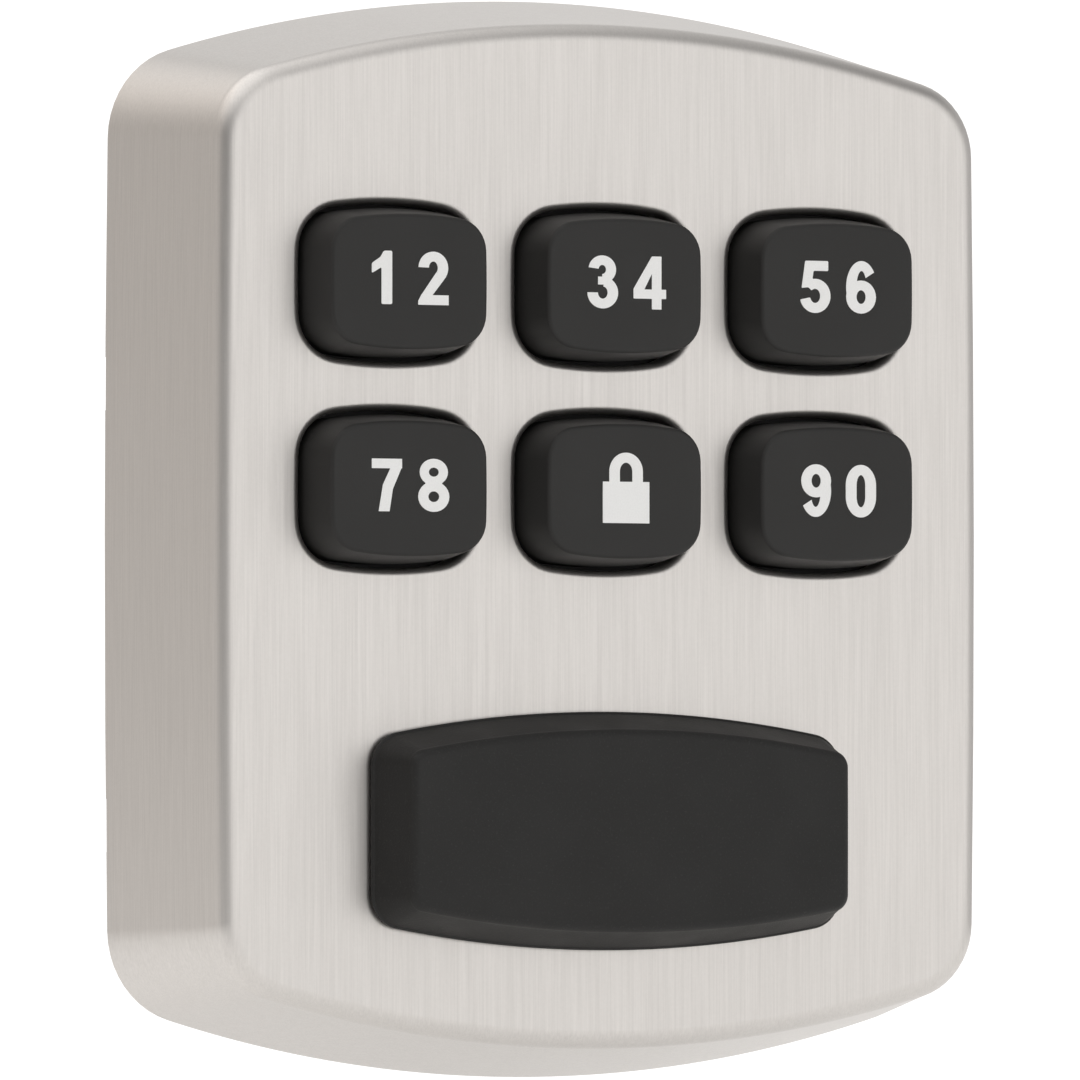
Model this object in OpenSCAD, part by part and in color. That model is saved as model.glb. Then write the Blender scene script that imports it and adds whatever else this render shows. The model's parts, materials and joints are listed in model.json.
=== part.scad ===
// Outdoor keypad unit of an electronic deadbolt: a drafted die-cast housing with six sprung keys,
// a key cylinder under a swinging rubber cover, and a torque blade that reaches into the door.
// The frame: +X to the right as seen from outside, +Y into the door, +Z up, millimetres.
// The origin is on the door's face, on the axis of the door's cross bore.

/* [Housing] */
// Width of the housing at the door
body_w = 72; // [71:0.5:76]
// Height of the housing at the door, from arch to arch
body_h = 82; // [81:0.5:86]
// Depth of the housing from the door to its front face
body_d = 13; // [13:0.1:13.5]
// How far the long sides lean in between the door and the front rounding
side_draft = 3.1; // [3:0.1:3.5]
// How far the arched ends lean in between the door and the front rounding
end_draft = 2.2; // [1.8:0.1:2.4]
// Radius of the rounding between the walls and the front face
edge_r = 1.5; // [1.4:0.1:1.9]
// Radius of the top and bottom arches
arch_r = 108; // [100:1:125]
// Corner radius of the outline at the door
corner_r = 7; // [6.5:0.5:8]
// Thickness of the side walls
wall = 2; // [1.8:0.1:2.1]
// Thickness of the front face
face_t = 2.2; // [2:0.1:2.3]
// Height of the housing's middle above the cross bore
body_z = 9.7; // [9.3:0.1:10]

/* [Keys] */
// Distance between key columns
key_pitch_x = 18.4; // [18.3:0.1:18.6]
// Distance between the two key rows
key_pitch_z = 15.5; // [15.3:0.1:15.7]
// Height of the upper key row above the housing's middle
key_row_up = 18.8; // [18.5:0.1:19]
// Width of a key where it leaves its opening
key_w = 14.3; // [14:0.1:15]
// Height of a key where it leaves its opening
key_h = 11.2; // [11:0.1:12]
// How far a key stands out of the front face
key_rise = 3.4; // [2.5:0.1:3.6]
// Gap between a key and its opening
key_gap = 0.35; // [0.25:0.05:0.4]
// Travel of a pressed key
key_travel = 0.8; // [0.4:0.1:0.8]

/* [Key cylinder] */
// Radius of the turning plug
plug_r = 6.35; // [6.2:0.05:6.4]
// Radius of the cylinder's nose in the front face
nose_r = 7.8; // [7.6:0.1:7.9]
// Distance between neighbouring pins
pin_pitch = 3.1; // [3:0.05:3.1]
// Number of pins
pin_count = 5; // [4:1:5]

/* [Transfer gears] */
// Teeth on each of the two equal gears
gear_teeth = 14; // [14:2:14]
// Module of the gears
gear_module = 0.9; // [0.88:0.01:0.9]
// Length of the torque blade measured from the door's face
blade_len = 56; // [40:1:70]

/* [Cylinder cover] */
// Width of the rubber cover at its base
cover_w = 40.3; // [40:0.1:42]
// Height of the rubber cover at its base, from arch to arch
cover_h = 18; // [17.8:0.1:18.4]
// How far the cover stands out of the front face
cover_rise = 4.6; // [4.4:0.1:5.2]

/* [Mounting] */
// Distance between the two threaded posts
post_pitch = 38; // [36:0.5:38]
// Radius of the tapped hole in each post
post_hole_r = 1.75; // [1.6:0.05:2]
// Outside radius of the hub that locates in the cross bore
hub_r = 26.5; // [26:0.1:26.8]

/* [Hidden] */
$fn = 48;

flat = 0.02;                              // thickness of a slice inside a hull
rim_y = -0.4;                             // the metal rim stops just short of the door
face_y = -body_d;                         // front face
inner_y = face_y + face_t;                // back of the front face
side_r = 2000;                            // the long sides are all but straight
plate_front = -3.2;
plate_back = -1.2;
notch_z = [body_z + 11.3, body_z - 21.9]; // pry notches in the rear edge
notch_len = 4;
notch_depth = 0.2;

key_x = [-key_pitch_x, 0, key_pitch_x];
key_z = [body_z + key_row_up, body_z + key_row_up - key_pitch_z];
key_arch = 34;                            // radius of a key's top and bottom arches
key_bow = 90;                             // radius of a key's bowed sides
key_corner = 3;
key_draft = 0.5;                          // how far a key narrows over its rise
key_edge = 0.35;                          // rounding round a key's crown
flange_hw = 8.5;                          // half width of the flange that holds a key in
flange_hh = 6.7;
flange_front = inner_y + 0.6;
flange_back = inner_y + 1.5;
pocket_gap = 0.3;
guide_hw = 27.7;
guide_front = inner_y + 0.5;

board_front = inner_y + 4.2;
board_back = board_front + 1.2;
board_hw = 31.2;
board_low = key_z[1] - 8;
board_high = key_z[0] + 11.7;
board_screw_x = 29.8;
board_screw_z = [board_low + 3.1, board_high - 2.9];
guide_high = key_z[0] + 7.8;
switch_front = board_front - 1.7;
plunger_r = 1.7;

cyl_z = -gear_module * gear_teeth;        // the gears' centre distance sets the cylinder's height
fit = 0.05;                               // radial clearance of turning pieces
shell_r = 8.6;
shell_back = 7;
neck_y = shell_back - 1;                  // where the plug steps down, so that its gear holds it in
neck_r = 5.4;
ear_x = 12;                               // the two ears that screw the cylinder to the housing
ear_z = cyl_z - 7;
ear_front = inner_y + 4;
ear_back = ear_front + 1.6;
chimney_hw = 4.5;
chimney_top = cyl_z + 16.4;
chimney_front = inner_y + 1.4;
pin_r = 1.4;
pin_hole_r = 1.45;
first_pin_y = face_y + 5;
cap_t = 0.8;
shear_z = cyl_z + plug_r;
driver_len = 3.6;
keyway_hw = 0.95;
tail_hw = 2.5;                            // half width of the plug's square tail

gear_front = 7.7;
gear_back = gear_front + 2.5;
gear_lid = gear_back + 0.4;
gear_lid_back = gear_lid + 2;
pressure = 25;
gear_slack = 0.7;                         // degrees taken off each tooth flank
journal_r = 3.6;
blade_r = 2.6;
lid_screw = [14.5, cyl_z / 2];
lid_r = 9;

post_x = post_pitch / 2;
post_r = 3.8;
post_back = 12;
lower_screw = [29, body_z - 28];
upper_screw = [22, body_z + 33.6];
hub_front = 0.5;                          // ahead of it the hub steps in, clear of the gasket
hub_back = 4;

pivot_x = -15.6;
pivot_r = 2;
pivot_head_r = 2.9;
cover_back = face_y - 0.3;
cover_arch = 100;
cover_corner = 2.6;
cover_draft = 1.3;
cover_edge = 0.7;
pivot_neck = 1.9;                         // length of the pivot between the face and its head
pivot_head = 1;
screw_r = 1.1;
head_r = 2.2;

// ---- outlines ----

function seg(n, a, b) = [for (i = [0 : n]) a + (b - a) * i / n];

// Centre of the corner arc that touches an arch and a side from within.
function corner_centre(hw, hh, ra, rs, rc) =
    let (ct = [0, hh - ra], cs = [hw - rs, 0], r0 = ra - rc, r1 = rs - rc,
         d = norm(cs - ct), u = (cs - ct) / d,
         a = (r0 * r0 - r1 * r1 + d * d) / (2 * d),
         h = sqrt(r0 * r0 - a * a))
    ct + a * u + h * [u[1], -u[0]];

// A quarter of the barrel outline, from the top of the arch to the middle of the side.
function quarter(hw, hh, ra, rs, rc) =
    let (c = corner_centre(hw, hh, ra, rs, rc), ct = [0, hh - ra], cs = [hw - rs, 0],
         top = atan2((c - ct)[1], (c - ct)[0]), side = atan2((c - cs)[1], (c - cs)[0]))
    concat(
        [for (a = seg(8, 90, top)) ct + ra * [cos(a), sin(a)]],
        [for (i = [1 : 6]) let (a = top + (side - top) * i / 6) c + rc * [cos(a), sin(a)]],
        [for (a = [side / 2, 0]) cs + rs * [cos(a), sin(a)]]);

// The whole outline: arched top and bottom, sides of radius rs, rounded corners.
function barrel(hw, hh, ra, rs, rc) =
    let (q = quarter(hw, hh, ra, rs, rc), n = len(q))
    concat(
        q,
        [for (i = [n - 2 : -1 : 0]) [q[i][0], -q[i][1]]],
        [for (i = [1 : n - 1]) [-q[i][0], -q[i][1]]],
        [for (i = [n - 2 : -1 : 1]) [-q[i][0], q[i][1]]]);

module slab(front, back) {
    translate([0, back, 0]) rotate([90, 0, 0]) linear_extrude(back - front) children();
}

module rod(x, z, r, front, back) {
    translate([x, back, z]) rotate([90, 0, 0]) cylinder(h = back - front, r = r);
}

module block(x0, x1, y0, y1, z0, z1) {
    translate([x0, y0, z0]) cube([x1 - x0, y1 - y0, z1 - z0]);
}

// The housing's outline, drawn in at its long sides and at its arched ends.
module body_outline(sides, ends) {
    translate([0, body_z])
        polygon(barrel(body_w / 2 - sides, body_h / 2 - ends, arch_r - ends,
            side_r, corner_r - (sides + ends) / 4));
}

module key_outline(grow) {
    polygon(barrel(key_w / 2 + grow, key_h / 2 + grow, key_arch + grow,
        key_bow + grow, key_corner + grow));
}

module cover_outline(inset) {
    polygon(barrel(cover_w / 2 - inset, cover_h / 2 - inset, cover_arch - inset,
        side_r, cover_corner - inset));
}

module each_key() {
    for (x = key_x, z = key_z) translate([x, 0, z]) children();
}

// ---- housing and seals ----

function lean(y) = (y - rim_y) / (face_y + edge_r - rim_y);

module drawn_in(y, inset) {
    body_outline(inset + side_draft * lean(y), inset + end_draft * lean(y));
}

module body_solid() {
    hull() {
        slab(rim_y - flat, rim_y) drawn_in(rim_y, 0);
        for (a = [0 : 15 : 90])
            let (y = face_y + edge_r * (1 - sin(a)))
            slab(y, y + flat) drawn_in(face_y + edge_r, edge_r * (1 - cos(a)));
    }
}

module body_cavity() {
    hull() {
        slab(0, flat) drawn_in(0, wall);
        slab(inner_y, inner_y + flat) drawn_in(inner_y, wall);
    }
}

module housing_bosses() {
    for (s = [-1, 1]) {
        for (z = board_screw_z) rod(s * board_screw_x, z, 2, inner_y, board_front);
        rod(s * lower_screw[0], lower_screw[1], 2.6, inner_y, plate_front);
        rod(s * upper_screw[0], upper_screw[1], 2.6, inner_y, plate_front);
        rod(s * ear_x, ear_z, 3.1, inner_y, ear_front);
    }
}

module housing_holes() {
    each_key() slab(face_y - 1, inner_y + 1) key_outline(key_gap);
    rod(0, cyl_z, nose_r + 0.1, face_y - 1, inner_y + 1);
    rod(pivot_x, cyl_z, pivot_r, face_y - 1, inner_y + 1);
    for (s = [-1, 1]) {
        for (z = board_screw_z) rod(s * board_screw_x, z, 0.85, inner_y + 1, board_front + 1);
        rod(s * lower_screw[0], lower_screw[1], screw_r, inner_y + 2, plate_front + 1);
        rod(s * upper_screw[0], upper_screw[1], screw_r, inner_y + 2, plate_front + 1);
        rod(s * ear_x, ear_z, screw_r, inner_y + 0.6, ear_front + 1);
        for (z = notch_z)
            translate([s * (body_w / 2), rim_y, z])
                cube([2 * notch_depth, 2 * notch_depth, notch_len], center = true);
    }
}

module housing() color("silver") difference() {
    union() {
        difference() {
            body_solid();
            body_cavity();
        }
        intersection() {
            body_solid();
            housing_bosses();
        }
    }
    housing_holes();
}

module keypad_seal() color("dimgray") difference() {
    block(-guide_hw, guide_hw, inner_y, guide_front, board_low, guide_high);
    each_key() slab(inner_y - 1, guide_front + 1) key_outline(key_gap);
}

module key_guide() color("black") difference() {
    block(-guide_hw, guide_hw, guide_front, board_front, board_low, guide_high);
    each_key() block(-flange_hw - pocket_gap, flange_hw + pocket_gap, guide_front - 1,
        board_front + 1, -flange_hh - pocket_gap, flange_hh + pocket_gap);
}

module door_gasket() color("black") slab(plate_back, 0) difference() {
    body_outline(wall + 0.5, wall + 0.5);
    body_outline(wall + 3.4, wall + 3.4);
    circle(hub_r + 0.3);
}

// ---- keys ----

module key_cap() {
    crown = face_y - key_rise;
    hull() {
        slab(face_y, flange_front + 0.3) key_outline(0);
        for (a = [0 : 22.5 : 90])
            let (y = crown + key_edge * (1 - sin(a)))
            slab(y, y + flat) key_outline(-key_draft - key_edge * (1 - cos(a)));
    }
    block(-flange_hw, flange_hw, flange_front, flange_back, -flange_hh, flange_hh);
}

module key_at(column, row) {
    color([0.21, 0.21, 0.21]) translate([key_x[column], 0, key_z[row]]) key_cap();
}

module plunger_at(column, row) {
    color("ivory") rod(key_x[column], key_z[row], plunger_r, flange_back, switch_front + 0.2);
}

module key_12() key_at(0, 0);
module key_34() key_at(1, 0);
module key_56() key_at(2, 0);
module key_78() key_at(0, 1);
module key_lock() key_at(1, 1);
module key_90() key_at(2, 1);
module plunger_12() plunger_at(0, 0);
module plunger_34() plunger_at(1, 0);
module plunger_56() plunger_at(2, 0);
module plunger_78() plunger_at(0, 1);
module plunger_lock() plunger_at(1, 1);
module plunger_90() plunger_at(2, 1);

// ---- electronics ----

module circuit_board() color("darkgreen") difference() {
    slab(board_front, board_back)
        translate([0, board_low]) union() {
            translate([-board_hw, 3]) square([2 * board_hw, board_high - board_low - 6]);
            translate([3 - board_hw, 0]) square([2 * board_hw - 6, board_high - board_low]);
            for (x = [3 - board_hw, board_hw - 3], z = [3, board_high - board_low - 3])
                translate([x, z]) circle(3);
        }
    for (s = [-1, 1], z = board_screw_z)
        rod(s * board_screw_x, z, 0.85, board_front - 1, board_back + 1);
}

module tact_switches() color("dimgray") each_key() difference() {
    block(-3, 3, switch_front, board_front, -3, 3);
    rod(0, 0, plunger_r + 0.15, switch_front - 1, board_front - 0.6);
}

module backlight_leds() color("white") each_key()
    for (s = [-1, 1])
        translate([s * 5.6, 0, 0]) block(-0.8, 0.8, board_front - 0.7, board_front, -0.6, 0.6);

module controller_chip() color([0.12, 0.12, 0.13])
    block(7, 17, board_back, board_back + 1, key_z[0] - 6, key_z[0] + 4);

module buzzer() color("black") difference() {
    rod(-14, key_z[0], 5, board_back, board_back + 1.9);
    rod(-14, key_z[0], 0.8, board_back + 1.1, board_back + 3);
}

module cable_socket() color("ivory") difference() {
    block(-6, 6, board_back, board_back + 1.8, 9.6, 14.6);
    block(-5, 5, board_back + 0.5, board_back + 3, 10.5, 13.7);
}

module board_screws() color("gainsboro") for (s = [-1, 1], z = board_screw_z) {
    rod(s * board_screw_x, z, 0.85, inner_y + 1.6, board_back);
    rod(s * board_screw_x, z, 1.4, board_back, board_back + 1);
}

// ---- back plate and fixing ----

module cylinder_passage(gap) {
    rod(0, cyl_z, shell_r + gap, plate_front - 1, plate_back + 1);
    block(-chimney_hw - gap, chimney_hw + gap, plate_front - 1, plate_back + 1,
        cyl_z, chimney_top + gap);
}

module back_plate() color("gray") difference() {
    union() {
        slab(plate_front, plate_back) body_outline(wall + 1.2, wall + 1);
        difference() {
            union() {
                rod(0, 0, hub_r - 0.5, plate_back, hub_front);
                rod(0, 0, hub_r, hub_front, hub_back);
            }
            rod(0, 0, hub_r - 1.8, plate_back - 1, hub_back + 1);
        }
        for (s = [-1, 1]) rod(s * lid_screw[0], lid_screw[1], 2.6, plate_back, gear_front - 0.5);
    }
    cylinder_passage(0.4);
    block(-7, 7, plate_front - 1, plate_back + 1, 8.6, 16);
    for (s = [-1, 1]) {
        rod(s * post_x, 0, post_r + 0.15, plate_front - 1, plate_back + 1);
        rod(s * lid_screw[0], lid_screw[1], screw_r, plate_back + 1, gear_front);
        for (p = [lower_screw, upper_screw]) {
            rod(s * p[0], p[1], screw_r + 0.3, plate_front - 1, plate_back + 1);
            rod(s * p[0], p[1], head_r + 0.2, plate_back - 1.2, plate_back + 1);
        }
    }
}

module plate_screws() color("gainsboro") for (s = [-1, 1], p = [lower_screw, upper_screw]) {
    rod(s * p[0], p[1], screw_r, inner_y + 3, plate_back - 1);
    difference() {
        rod(s * p[0], p[1], head_r, plate_back - 1.2, plate_back - 0.2);
        block(s * p[0] - 1.6, s * p[0] + 1.6, plate_back - 0.7, plate_back, p[1] - 0.3, p[1] + 0.3);
        block(s * p[0] - 0.3, s * p[0] + 0.3, plate_back - 0.7, plate_back, p[1] - 1.6, p[1] + 1.6);
    }
}

module mounting_posts() color("lightgray") for (s = [-1, 1]) difference() {
    rod(s * post_x, 0, post_r, inner_y, post_back);
    rod(s * post_x, 0, post_hole_r, inner_y + 3, post_back + 1);
}

// ---- key cylinder ----

function pin_y(i) = first_pin_y + pin_pitch * i;

module each_pin() {
    for (i = [0 : pin_count - 1]) translate([0, pin_y(i), 0]) children();
}

module upright(r, z0, z1) {
    translate([0, 0, z0]) cylinder(h = z1 - z0, r = r);
}

module cylinder_shell() color("goldenrod") difference() {
    union() {
        rod(0, cyl_z, nose_r, face_y, inner_y);
        rod(0, cyl_z, shell_r, inner_y, shell_back);
        block(-chimney_hw, chimney_hw, chimney_front, shell_back, cyl_z, chimney_top);
        block(-ear_x, ear_x, ear_front, ear_back, ear_z - 3, ear_z + 3);
        for (s = [-1, 1]) rod(s * ear_x, ear_z, 3, ear_front, ear_back);
    }
    rod(0, cyl_z, plug_r + fit, face_y - 1, neck_y);
    rod(0, cyl_z, neck_r + fit, neck_y - 1, shell_back + 1);
    each_pin() upright(pin_hole_r, cyl_z + plug_r - 1, chimney_top + 1);
    block(-2.4, 2.4, chimney_front - 1, shell_back + 1, chimney_top - cap_t, chimney_top + 1);
    for (s = [-1, 1]) rod(s * ear_x, ear_z, screw_r + 0.2, ear_front - 1, ear_back + 1);
}

module cylinder_screws() color("gainsboro") for (s = [-1, 1]) {
    rod(s * ear_x, ear_z, screw_r, inner_y + 0.8, ear_back);
    rod(s * ear_x, ear_z, head_r, ear_back, ear_back + 1.4);
}

module driver_pins() color("lightgray") each_pin()
    upright(pin_r, shear_z + 0.15, shear_z + driver_len);

module pin_springs() color("gray") each_pin() difference() {
    upright(pin_r - 0.1, shear_z + driver_len, chimney_top - cap_t);
    upright(pin_r - 0.5, shear_z, chimney_top);
}

module spring_cap() color("goldenrod")
    block(-2.4, 2.4, chimney_front, shell_back, chimney_top - cap_t, chimney_top);

module cylinder_plug() color("khaki") difference() {
    union() {
        rod(0, cyl_z, plug_r, face_y, neck_y - 0.1);
        rod(0, cyl_z, neck_r, face_y + 1, shell_back + 0.3);
        block(-tail_hw, tail_hw, shell_back + 0.3, gear_back, cyl_z - tail_hw, cyl_z + tail_hw);
    }
    block(-keyway_hw, keyway_hw, face_y - 1, shell_back - 2, cyl_z - 4.2, cyl_z + 4);
    block(-1.9, 0, face_y - 1, shell_back - 2, cyl_z - 1.4, cyl_z + 0.2);
    each_pin() upright(pin_hole_r, cyl_z, shear_z + 1);
    rod(0, cyl_z, 1, shell_back - 1, gear_back + 1);
}

module key_pins() color("goldenrod") each_pin()
    upright(pin_r, cyl_z + 1.2, shear_z - 0.3);

// ---- transfer gears and torque blade ----

function involute(a) = tan(a) - a * PI / 180;

function flank(r, rb) = 90 / gear_teeth - gear_slack
    + (involute(pressure) - involute(acos(min(1, rb / r)))) * 180 / PI;

module gear_outline(turn) {
    rp = gear_module * gear_teeth / 2;
    rb = rp * cos(pressure);
    tip = rp + 0.95 * gear_module;
    root = rp - 1.25 * gear_module;
    radii = seg(5, rb, tip);
    polygon([for (k = [0 : gear_teeth - 1])
        let (mid = 90 + turn + k * 360 / gear_teeth)
        each concat(
            [root * [cos(mid - flank(rb, rb)), sin(mid - flank(rb, rb))]],
            [for (r = radii) r * [cos(mid - flank(r, rb)), sin(mid - flank(r, rb))]],
            [for (i = [5 : -1 : 0]) let (r = radii[i])
                r * [cos(mid + flank(r, rb)), sin(mid + flank(r, rb))]],
            [root * [cos(mid + flank(rb, rb)), sin(mid + flank(rb, rb))]])]);
}

module plug_gear() color("lightgray") difference() {
    translate([0, 0, cyl_z]) slab(gear_front, gear_back) gear_outline(0);
    block(-tail_hw, tail_hw, gear_front - 1, gear_back + 1, cyl_z - tail_hw, cyl_z + tail_hw);
}

module plug_screw() color("gainsboro") {
    rod(0, cyl_z, 1, shell_back, gear_back);
    difference() {
        rod(0, cyl_z, 2.7, gear_back, gear_back + 1.3);
        block(-3, 3, gear_back + 0.8, gear_back + 2, cyl_z - 0.35, cyl_z + 0.35);
    }
}

module blade_section(r) {
    intersection() {
        circle(r);
        translate([-r, -r]) square([2 * r, 1.45 * r]);
    }
}

module output_gear() color("lightgray") difference() {
    union() {
        slab(gear_front, gear_back) gear_outline(180 / gear_teeth);
        rod(0, 0, journal_r, gear_back, gear_lid_back + 1.4);
    }
    slab(gear_front + 0.6, gear_lid_back + 3) blade_section(blade_r);
}

module torque_blade() color("silver") slab(gear_front + 0.6, blade_len) blade_section(blade_r);

module output_clip() color("dimgray") difference() {
    rod(0, 0, journal_r + 1.6, gear_lid_back + 0.2, gear_lid_back + 0.9);
    rod(0, 0, journal_r, gear_lid_back, gear_lid_back + 2);
    block(-1.6, 1.6, gear_lid_back, gear_lid_back + 2, -journal_r - 2, -journal_r + 0.6);
}

module lid_outline(r) {
    circle(r);
    translate([0, cyl_z]) circle(r);
    translate([-r, cyl_z]) square([2 * r, -cyl_z]);
}

module gear_cover() color("darkgray") difference() {
    union() {
        slab(gear_front - 0.4, gear_lid_back) lid_outline(lid_r);
        block(-lid_screw[0], lid_screw[0], gear_front - 0.5, gear_front + 1.3,
            lid_screw[1] - 2.6, lid_screw[1] + 2.6);
        for (s = [-1, 1]) rod(s * lid_screw[0], lid_screw[1], 2.6, gear_front - 0.5, gear_front + 1.3);
    }
    slab(gear_front - 1, gear_lid) lid_outline(lid_r - 1.4);
    rod(0, 0, journal_r + fit, gear_lid - 1, gear_lid_back + 1);
    rod(0, cyl_z, 3.1, gear_lid - 1, gear_lid_back + 1);
    for (s = [-1, 1])
        rod(s * lid_screw[0], lid_screw[1], screw_r + 0.2, gear_front - 1, gear_front + 2);
}

module gear_cover_screws() color("gainsboro") for (s = [-1, 1]) {
    rod(s * lid_screw[0], lid_screw[1], screw_r, plate_back + 2, gear_front + 1.3);
    rod(s * lid_screw[0], lid_screw[1], head_r, gear_front + 1.3, gear_front + 2.5);
}

// ---- cover over the key cylinder ----

module cover_pivot() color("silver") {
    rod(pivot_x, cyl_z, pivot_r, face_y - pivot_neck, inner_y);
    rod(pivot_x, cyl_z, pivot_head_r, face_y - pivot_neck - pivot_head, face_y - pivot_neck);
    rod(pivot_x, cyl_z, pivot_head_r, inner_y, inner_y + 0.8);
}

module key_cover() color([0.19, 0.19, 0.19]) difference() {
    translate([0, 0, cyl_z]) {
        crown = face_y - cover_rise;
        hull() {
            slab(cover_back - flat, cover_back) cover_outline(0);
            for (a = [0 : 22.5 : 90])
                let (y = crown + cover_edge * (1 - sin(a)))
                slab(y, y + flat) cover_outline(cover_draft + cover_edge * (1 - cos(a)));
        }
    }
    rod(pivot_x, cyl_z, pivot_r + fit, face_y - pivot_neck, face_y + 1);
    rod(pivot_x, cyl_z, pivot_head_r + 0.2, face_y - pivot_neck - pivot_head - 0.2,
        face_y - pivot_neck + 0.2);
}

housing();
keypad_seal();
key_guide();
circuit_board();
tact_switches();
backlight_leds();
controller_chip();
buzzer();
cable_socket();
board_screws();
back_plate();
plate_screws();
door_gasket();
mounting_posts();
cylinder_shell();
cylinder_screws();
driver_pins();
pin_springs();
spring_cap();
cover_pivot();
gear_cover();
gear_cover_screws();
cylinder_plug();
key_pins();
plug_gear();
plug_screw();
output_gear();
torque_blade();
output_clip();
key_cover();
key_12();
key_34();
key_56();
key_78();
key_lock();
key_90();
plunger_12();
plunger_34();
plunger_56();
plunger_78();
plunger_lock();
plunger_90();
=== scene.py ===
"""Looks of the outdoor keypad unit of an electronic deadbolt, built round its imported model."""

import json
import math
from collections import namedtuple

import bmesh
import bpy
from bpy.props import FloatProperty, FloatVectorProperty, IntProperty, PointerProperty
from mathutils import Matrix, Vector


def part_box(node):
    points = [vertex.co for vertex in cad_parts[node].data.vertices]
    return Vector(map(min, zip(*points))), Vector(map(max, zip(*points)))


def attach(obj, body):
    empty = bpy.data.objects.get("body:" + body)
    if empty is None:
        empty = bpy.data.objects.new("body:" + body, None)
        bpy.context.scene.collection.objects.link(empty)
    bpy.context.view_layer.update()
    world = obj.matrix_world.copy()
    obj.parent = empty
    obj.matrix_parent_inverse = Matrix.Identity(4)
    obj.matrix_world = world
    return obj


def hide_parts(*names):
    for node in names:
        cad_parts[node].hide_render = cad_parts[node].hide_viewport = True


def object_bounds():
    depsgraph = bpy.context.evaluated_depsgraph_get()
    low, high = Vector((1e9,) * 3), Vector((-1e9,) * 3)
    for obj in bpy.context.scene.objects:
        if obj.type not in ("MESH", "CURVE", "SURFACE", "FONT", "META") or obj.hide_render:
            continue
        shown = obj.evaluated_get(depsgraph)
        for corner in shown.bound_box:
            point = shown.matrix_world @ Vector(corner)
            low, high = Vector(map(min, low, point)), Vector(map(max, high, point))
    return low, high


bl_info = {
    "name": "Keypad Deadbolt Unit",
    "version": (1, 0, 0),
    "blender": (4, 5, 0),
    "location": "3D View > Sidebar > Keypad",
    "description": "Builds the housing, keys, cover, key cylinder and studio of a keypad deadbolt",
    "category": "Object",
}

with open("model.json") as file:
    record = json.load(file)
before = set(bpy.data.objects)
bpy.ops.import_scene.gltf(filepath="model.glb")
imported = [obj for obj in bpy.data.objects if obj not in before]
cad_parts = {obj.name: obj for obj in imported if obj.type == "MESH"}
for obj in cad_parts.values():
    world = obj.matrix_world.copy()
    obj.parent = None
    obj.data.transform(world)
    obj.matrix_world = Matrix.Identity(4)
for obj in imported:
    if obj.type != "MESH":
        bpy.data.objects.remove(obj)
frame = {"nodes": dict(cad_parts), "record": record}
CAD_LOW, CAD_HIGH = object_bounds()
HOUSING_LOW, HOUSING_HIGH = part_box("housing")
FACE = HOUSING_LOW.y
RIM = HOUSING_HIGH.y
MIDDLE_Z = (HOUSING_LOW.z + HOUSING_HIGH.z) / 2
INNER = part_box("keypad_seal")[0].y
KEY_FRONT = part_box("key_12")[0].y
COVER_LOW, COVER_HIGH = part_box("key_cover")
PLUG_LOW, PLUG_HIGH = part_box("cylinder_plug")
AXIS_Z = (PLUG_LOW.z + PLUG_HIGH.z) / 2
KEY_NAMES = ("12", "34", "56", "78", "lock", "90")


# ---- sizes and colours ----

def length(name, description, default):
    return FloatProperty(name=name, description=description, default=default, min=0.0,
                         precision=5, unit="LENGTH")


def amount(name, description, default, high=1.0):
    return FloatProperty(name=name, description=description, default=default, min=0.0, max=high,
                         subtype="FACTOR")


def colour(name, description, default):
    return FloatVectorProperty(name=name, description=description, default=default, size=3,
                               min=0.0, max=1.0, subtype="COLOR")


class HousingSizes(bpy.types.PropertyGroup):
    arch_radius: length("Arch radius", "Radius of the arched ends", 0.108)
    side_radius: length("Side radius", "Radius of the long sides", 2.0)
    corner_radius: length("Corner radius", "Radius of the corners at the door", 0.00713)
    side_lean: length("Side lean", "How far the long sides lean in", 0.0031)
    end_lean: length("End lean", "How far the arched ends lean in", 0.0022)
    rounding: length("Rounding", "Radius between the walls and the face", 0.0015)
    rim_break: length("Rim break", "Broken edge next to the door", 0.00015)
    wall: length("Wall", "Thickness of the walls", 0.002)
    lip: length("Lip", "Rounding of the key openings", 0.0006)


class KeySizes(bpy.types.PropertyGroup):
    width: length("Width", "Width of a key at the face", 0.0143)
    height: length("Height", "Height of a key at the face", 0.0112)
    arch_radius: length("Arch radius", "Radius of a key's arched ends", 0.034)
    side_radius: length("Side radius", "Radius of a key's bowed sides", 0.09)
    corner_radius: length("Corner radius", "Corner radius of a key", 0.003)
    gap: length("Gap", "Gap between a key and its opening", 0.00035)
    draft: length("Draft", "How far a key narrows over its rise", 0.0005)
    edge: length("Edge", "Rounding of the crown's edge", 0.00035)
    dome: length("Dome", "Rise of the crown's middle", 0.00006)


class LegendSizes(bpy.types.PropertyGroup):
    height: length("Height", "Height of a digit", 0.004)
    pitch: length("Pitch", "Distance between two digits", 0.00393)
    lift: length("Lift", "How far a legend's middle is above its key's", 0.00025)
    proud: length("Proud", "How far the print stands out of the crown", 0.00003)
    depth: length("Depth", "Depth of the print", 0.00012)
    softness: length("Softness", "Rounding of the print's corners", 0.00012)


class CoverSizes(bpy.types.PropertyGroup):
    arch_radius: length("Arch radius", "Radius of the cover's arched ends", 0.1)
    side_radius: length("Side radius", "Radius of the cover's straight sides", 2.0)
    corner_radius: length("Corner radius", "Corner radius of the cover", 0.0026)
    draft: length("Draft", "How far the cover narrows over its rise", 0.0013)
    edge: length("Edge", "Rounding of the crown's edge", 0.0007)
    lip_height: length("Lip height", "Height of the thin lip at the base", 0.00035)
    lip_step: length("Lip step", "How far the lip stands proud of the wall", 0.00018)


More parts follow.
